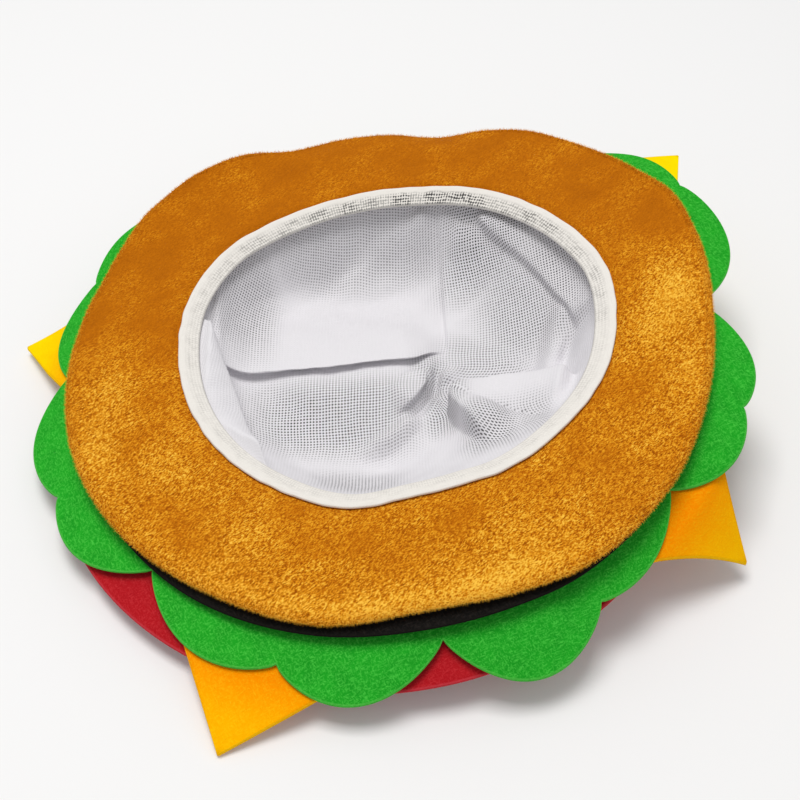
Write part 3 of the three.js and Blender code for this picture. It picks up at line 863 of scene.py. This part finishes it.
def crown():
    """Crown: the upper bun, plush, squashed and creased where it lies on the floor."""
    turns = np.arange(0, TURN, CROWN_GRID["turn"])
    column = turns[:, None]
    lip = around(BUN, "opening", turns)[:, None] + FELT["seam"]
    knots = np.arange(len(CROWN["reach"]))
    steps = np.linspace(0, knots[-1], CROWN_GRID["outside"])
    reach, share = (np.interp(steps, knots, CROWN[name])[None, :] for name in CROWN)
    for _ in range(CROWN_GRID["rounding"]):
        for line in (reach, share):
            line[:, 1:-1] = (line[:, :-2] + 2 * line[:, 1:-1] + line[:, 2:]) / 4
    shoulder = brim_height(column, CROWN["reach"][0]) - LAYER_DEPTH["crown"]
    free = 4 * share * (1 - share)
    folds = 0
    for part, size, seed in zip(*CREASES.values()):
        folds = folds + part * wobble(*plan(column, CREASE_REACH), size, seed=int(seed))
    beside, ahead = plan(column, SAG["reach"])
    sag = SAG["height"] * wobble(beside, ahead + share * SAG["drift"], SAG["size"], seed=10)
    reach = reach + free * (CREASE_DEPTH * folds + sag) - CREASE_DEPTH * free
    across = np.linspace(0, 1, CROWN_GRID["top"])[None, :-1]
    top_reach = lip + (CROWN["reach"][0] - lip) * across
    top = brim_height(column, top_reach) - LAYER_DEPTH["crown"]
    outside = np.concatenate([top_reach, reach], 1)
    level = np.concatenate([top, share * shoulder], 1)
    back = slice(None, None, -CROWN_GRID["skip"])
    inside = outside[:, back] - CROWN_THICK * smooth(outside[:, back], *CROWN_INSIDE)
    inside_level = np.minimum(level[:, back] + CROWN_THICK, shoulder - CROWN_THICK)
    reach = np.concatenate([outside, inside], 1)
    points = section_points(turns, reach, np.concatenate([level, inside_level], 1))
    faces = tube_faces(len(turns), reach.shape[1])
    # Painted sheen of the pile, read from the bun and made a little darker
    brushed_sheen = pile_sheen(column, CROWN_SHEEN["reach"]) - CROWN_SHEEN["darker"]
    values = {"brushed_sheen": np.broadcast_to(brushed_sheen, reach.shape)}
    return make_piece("bun_crown", points, faces, PLUSH, ("crown",), values)


# Folds of the lining. Each has a height, the width of its gentle side, on the left of its
# crest's direction, and of its steep side on the right, how far it laps over, how long its two
# ends fade, and the plan coordinates of its crest
FOLD_COLUMNS = ("height", "gentle", "steep", "lap", "fade", "crest")
FOLDS = {
    "ridge": (4.5, 50, 2, 6, (4, 20), [(-75, 7), (-48, 9.5), (-21, 11), (6, 13.5), (28, 20)]),
    "pouch": (
        13, 24, 4, 3, (10, 22),
        [(80, -9), (68, -5), (51, -3), (34, -5.5), (26, -10), (26, -17), (31, -26), (42, -43)],
    ),
    "left_flap": (
        9, 16, 2.5, 4, (22, 10),
        [(-40, -66), (-52, -46), (-62, -16), (-69.5, 3), (-79, 28)],
    ),
    "right_fold": (
        3.5, 12, 2.5, 2.5, (8, 6),
        [(37, 79), (40, 74), (55, 60), (64, 49), (72, 34.5), (80.5, 17)],
    ),
    "right_swell": (5, 8, 7, 0, (10, 8), [(75, 36), (70, 16), (65.5, -2)]),
    "right_dip": (-2.5, 6, 4, 0, (6, 8), [(86, 24), (77, 14), (73, 2)]),
    "pinch_curl": (4, 14, 2.5, 3, (8, 8), [(3, -14), (10, -9), (15, -2), (16, 7), (13, 14)]),
    "pinch_dip": (
        -3, 4, 3, 0, (6, 10),
        [(20, 16), (20, 9), (19, 2), (16.5, -6), (12, -11), (6, -14)],
    ),
    "seam": (2, 14, 2, 0.3, (6, 20), [(22, 84), (24, 70), (25, 52), (26, 30), (26, 14)]),
    "far_swell": (5, 7, 14, 0, (14, 10), [(-28, 63), (-5, 74), (9, 78), (22, 83)]),
    "far_curl": (4, 8, 4, 1, (8, 6), [(44, 76), (38, 74), (26, 78)]),
    "near_swell": (4.5, 6, 6, 0, (10, 14), [(14, -12), (2, -22), (-16, -30)]),
}

# How far a fold pushes the cloth on its gentle side: a number of its laps, and a little more
PUSH = {"laps": 2.4, "more": 1}

# Points from one of a crest's points to the next
CREST_STEPS = 16

# The pinch of the lining: its place, the depth and reach of its dent, and the height, reach,
# number, twist and beginning of its gathers
PINCH = {"x": 20, "y": 2, "depth": 2.5, "dent": 6}
GATHERS = {"height": 0.9, "reach": 24, "number": 7, "twist": 0.1, "from": (1, 8)}

# Soft waves of the lining: height, size and seed
LINING_WAVES = table("height size seed", [(0.5, 34, 21), (0.2, 13, 22)])

# Shares of the opening's reach between which the seam comes to hold the lining, and its least
# distance from the crown's floor
HELD = (0.94, 1)
LINING_REST = 0.4

# How far the lining stays under the tape, and how high its folds may stand in from the tape
TAPE_ROOM = {"gap": 0.7, "rise": 8, "run": 12}

# Painted shade and light: the lining's dots show strongest where its walls and folds lie in shade
# Where the lining's dots show: place, spreads and how strongly, and the power of their edges
DOT_SHADE_ZONES = table(
    "x y wide deep amount",
    [
        (-24, -11, 38, 19, 0.95),
        (-64, 46, 14, 26, 0.75),
        (-30, 74, 34, 13, 0.62),
        (4, 80, 30, 17, 0.62),
        (44, 72, 24, 22, 1.0),
        (64, 42, 27, 28, 0.9),
        (42, 20, 20, 14, 0.75),
        (-12, -51, 18, 12, 0.75),
        (42, -32, 12, 14, 0.95),
        (58, -30, 8, 14, 0.65),
        (24, -12, 9, 13, 1.0),
        (19, 6, 10, 16, 0.85),
    ],
)
ZONE_EDGE = 4

# Points of the lining round its edge and in from it
LINING_GRID = {"turns": 480, "rings": 140}

# Square raster that the cloth's lengths are measured on: half its width and its step
RASTER = {"half": 96, "step": 1.0}

# Cells over which the cloth's lengths are evened sideways, so that its dots keep their rows
EVENED = 8


def curve_through(points):
    """Points on a smooth open curve through the given plan points."""
    knots = np.array([points[0], *points, points[-1]], float)
    part = np.linspace(0, 1, CREST_STEPS, endpoint=False)[:, None]
    runs = []
    for before, low, high, after in zip(knots, knots[1:], knots[2:], knots[3:]):
        runs.append(bridge(low, high, (high - before) / 2, (after - low) / 2, part))
    return np.concatenate([*runs, knots[-1:]])


def lining_base(turn, share):
    """Height of the lining without folds, at turns and shares of the opening's reach."""
    opening = around(BUN, "opening", turn)
    top = brim_height(turn, opening) - LINING_TOP_DROP
    levels = [around(LINING, f"h{k}", turn) for k in range(len(LINING_SHARES))]
    levels = np.stack([np.full(turn.shape, float(LINING_MIDDLE)), *levels, top], -1)
    stations = np.array([0.0, *LINING_SHARES, 1.0])
    last = len(stations) - 1
    low = np.clip(np.searchsorted(stations, share, side="right") - 1, 0, last - 1)

    def level(shift):
        index = np.clip(low + shift, 0, last)
        return np.take_along_axis(levels, index[..., None], -1)[..., 0], stations[index]

    (before, s0), (start, s1), (end, s2), (after, s3) = (level(k) for k in (-1, 0, 1, 2))
    span = s2 - s1
    slope_low = (end - before) / (s2 - s0) * span
    slope_high = (after - start) / (s3 - s1) * span
    return bridge(start, end, slope_low, slope_high, (share - s1) / span)


def fold_over(x, y, points, fold):
    """Adds one lapped fold to points that lie at plan coordinates x and y."""
    crest = curve_through(fold["crest"])
    steps = np.diff(crest, axis=0)
    run = np.concatenate([[0], np.cumsum(np.linalg.norm(steps, axis=1))])
    tangent = np.concatenate([steps, steps[-1:]])
    tangent /= np.linalg.norm(tangent, axis=1)[:, None]
    crest = crest + fold["lap"] * np.stack([-tangent[:, 1], tangent[:, 0]], -1)
    spot = np.stack([x, y], -1)
    away = np.linalg.norm(spot[:, None] - crest[None], axis=2)
    nearest = away.argmin(1)
    offset = spot - crest[nearest]
    ahead = tangent[nearest]
    beside = ahead[:, 0] * offset[:, 1] - ahead[:, 1] * offset[:, 0]
    along = run[nearest] + (offset * ahead).sum(1)
    start, end = fold["fade"]
    fade = smooth(along, 0, start) * smooth(run[-1] - along, 0, end)
    gentle = 1 - smooth(beside, 0, fold["gentle"])
    steep = 1 - smooth(-beside, 0, fold["steep"])
    profile = np.where(beside > 0, gentle, steep)
    far = PUSH["laps"] * fold["lap"] + PUSH["more"]
    shift = np.where(beside > 0, 1 - smooth(beside, 0, far), steep)
    points[:, 2] += fold["height"] * fade * profile
    push = (fold["lap"] * fade * shift)[:, None]
    points[:, 0:2] += push * np.stack([ahead[:, 1], -ahead[:, 0]], -1)


def pinch(x, y):
    """Relief of the lining's pinch: gathers that run into a dent."""
    aside, ahead = x - PINCH["x"], y - PINCH["y"]
    far = np.hypot(aside, ahead)
    rays = np.sin(GATHERS["number"] * np.arctan2(ahead, aside) + GATHERS["twist"] * far)
    fading = smooth(far, *GATHERS["from"]) * np.exp(-((far / GATHERS["reach"]) ** 2))
    return GATHERS["height"] * rays * fading - PINCH["depth"] * np.exp(-((far / PINCH["dent"]) ** 2))


def under_tape(points):
    """Greatest height of the lining's points, so that its folds pass below the tape."""
    turn = np.degrees(np.arctan2(points[:, 1], points[:, 0]))
    reach = np.hypot(points[:, 0], points[:, 1])
    edge = around(BUN, "opening", turn)
    inner = edge + TAPE["lap"] - TAPE["width"]
    dip = TAPE["dip"] * np.clip((edge - reach) / (edge - inner), 0, 1)
    roof = brim_height(turn, reach) + SEAT - TAPE_PRESS - dip - TAPE_ROOM["gap"]
    return roof + TAPE_ROOM["rise"] * smooth(inner - reach, 0, TAPE_ROOM["run"])


def lining_points(x, y):
    """Points of the folded lining over plan coordinates."""
    turn = np.degrees(np.arctan2(y, x))
    share = np.minimum(np.hypot(x, y) / around(BUN, "opening", turn), 1)
    points = np.stack([x, y, lining_base(turn, share)], -1)
    loose = points.copy()
    for row in FOLDS.values():
        fold_over(x, y, loose, dict(zip(FOLD_COLUMNS, row)))
    loose[:, 2] += pinch(x, y)
    for height, size, seed in zip(*LINING_WAVES.values()):
        loose[:, 2] += height * wobble(x, y, size, seed=int(seed))
    points += (loose - points) * (1 - smooth(share, *HELD))[:, None]
    points[:, 2] = np.clip(points[:, 2], CROWN_THICK + LINING_REST, under_tape(points))
    return points


def cloth_lengths(x, y):
    """Lengths along the cloth, in x and in y, from the hat's axis to plan coordinates."""
    half, step = RASTER["half"], RASTER["step"]
    line = np.arange(-half, half + step, step)
    across, ahead = np.meshgrid(line, line)
    points = lining_points(across.ravel(), ahead.ravel()).reshape(*across.shape, 3)

    def lengths(axis):
        steps = np.linalg.norm(np.diff(points, axis=axis), axis=2)
        total = np.cumsum(np.insert(steps, 0, 0, axis=axis), axis=axis)
        total = total - np.take(total, [len(line) // 2], axis=axis)
        padded = np.pad(total, EVENED, mode="edge")
        window = np.hanning(2 * EVENED + 3)[1:-1]
        strips = np.lib.stride_tricks.sliding_window_view(padded, 2 * EVENED + 1, axis=1 - axis)
        evened = strips @ (window / window.sum())
        return evened[:, EVENED:-EVENED] if axis else evened[EVENED:-EVENED]

    column, row = (x + half) / step, (y + half) / step
    left, low = column.astype(int), row.astype(int)
    right, up = column - left, row - low

    def sample(grid):
        lower = grid[low, left] * (1 - right) + grid[low, left + 1] * right
        upper = grid[low + 1, left] * (1 - right) + grid[low + 1, left + 1] * right
        return lower * (1 - up) + upper * up

    return np.stack([sample(lengths(1)), sample(lengths(0))], -1)


def lining():
    """Lining: a thin cloth bag in folds, from the tape down to the crown's floor."""
    turns = np.arange(LINING_GRID["turns"]) * TURN / LINING_GRID["turns"]
    shares = np.linspace(0, 1, LINING_GRID["rings"] + 1)[1:]
    reach = around(BUN, "opening", turns)[:, None] * shares[None, :]
    x, y = plan(turns[:, None], reach)
    x, y = np.append(x.ravel(), 0), np.append(y.ravel(), 0)
    points = lining_points(x, y)
    size = len(shares)
    faces = tube_faces(len(turns), size, closed=False)
    first = np.arange(len(turns)) * size
    centre = np.full(len(turns), len(x) - 1)
    faces = [*faces, *np.stack([first, np.roll(first, -1), centre], -1)]
    # Dots by zone, which also paint the lining's shade
    dots = np.zeros(len(x))
    for at, out, wide, deep, amount in zip(*DOT_SHADE_ZONES.values()):
        away = ((x - at) / wide) ** ZONE_EDGE + ((y - out) / deep) ** ZONE_EDGE
        dots = np.maximum(dots, amount * np.exp(-away))
    return make_piece(
        "lining_bag",
        points,
        faces,
        LINING_CLOTH,
        ("lining",),
        {"dots": dots},
        cloth_lengths(x, y),
    )


bun = bottom_bun()
rim_pile()
patty_ring = patty()
lettuce_ring = lettuce()
flaps = [cheese_corner(index) for index in range(len(CORNERS["turn"]))]
tomato_ring = tomato()
band = binding()
upper_bun = crown()
bag = lining()


# Floor: its width in metres, its shade and how much it glows
FLOOR = {"width": 8, "shade": (0.8, 0.8, 0.805, 1), "glow": 0.08}
WHITE = (1, 1, 1, 1)

# Strength of the white surround, and the key light: its place and width in metres, its power
# in watts and its tint
SURROUND = 0.46
KEY = {"place": (-0.2, 0.05, 1.75), "width": 0.8, "power": 21, "tint": (1, 0.99, 0.97)}


def add_floor():
    """A wide pale floor that glows a little, a painted light that fills the shadows round the hat."""
    bpy.ops.mesh.primitive_plane_add(size=FLOOR["width"])
    floor = bpy.context.object
    floor.name = "floor"
    paper = {"Roughness": 0.9, "Specular IOR Level": 0.1, "Base Color": FLOOR["shade"]}
    graph = Graph("glowing_floor_paper", {**paper, "Emission Color": WHITE, "Emission Strength": FLOOR["glow"]})
    floor.data.materials.append(graph.material)


def add_key():
    """A square soft light aimed at the hat."""
    data = bpy.data.lights.new("key", "AREA")
    data.size, data.energy, data.color = KEY["width"], KEY["power"], KEY["tint"]
    lamp = bpy.data.objects.new("key", data)
    lamp.location = KEY["place"]
    lamp.rotation_euler = (-lamp.location).to_track_quat("-Z", "Y").to_euler()
    bpy.context.scene.collection.objects.link(lamp)


def add_camera():
    """The camera, at the photograph's place and angle."""
    data = bpy.data.cameras.new("camera")
    data.lens, data.sensor_width = CAMERA["lens"], CAMERA["sensor"]
    camera = bpy.data.objects.new("camera", data)
    camera.location = [CAMERA[axis] * MM for axis in "xyz"]
    camera.rotation_euler = (math.radians(CAMERA["tilt"]), 0, 0)
    bpy.context.scene.collection.objects.link(camera)
    bpy.context.scene.camera = camera


def add_world():
    """An even white surround."""
    world = bpy.data.worlds.new("studio")
    world.use_nodes = True
    background = world.node_tree.nodes["Background"]
    background.inputs["Color"].default_value = WHITE
    background.inputs["Strength"].default_value = SURROUND
    bpy.context.scene.world = world


add_floor()
add_world()
add_key()
add_camera()
bpy.context.scene.view_settings.view_transform = "Standard"
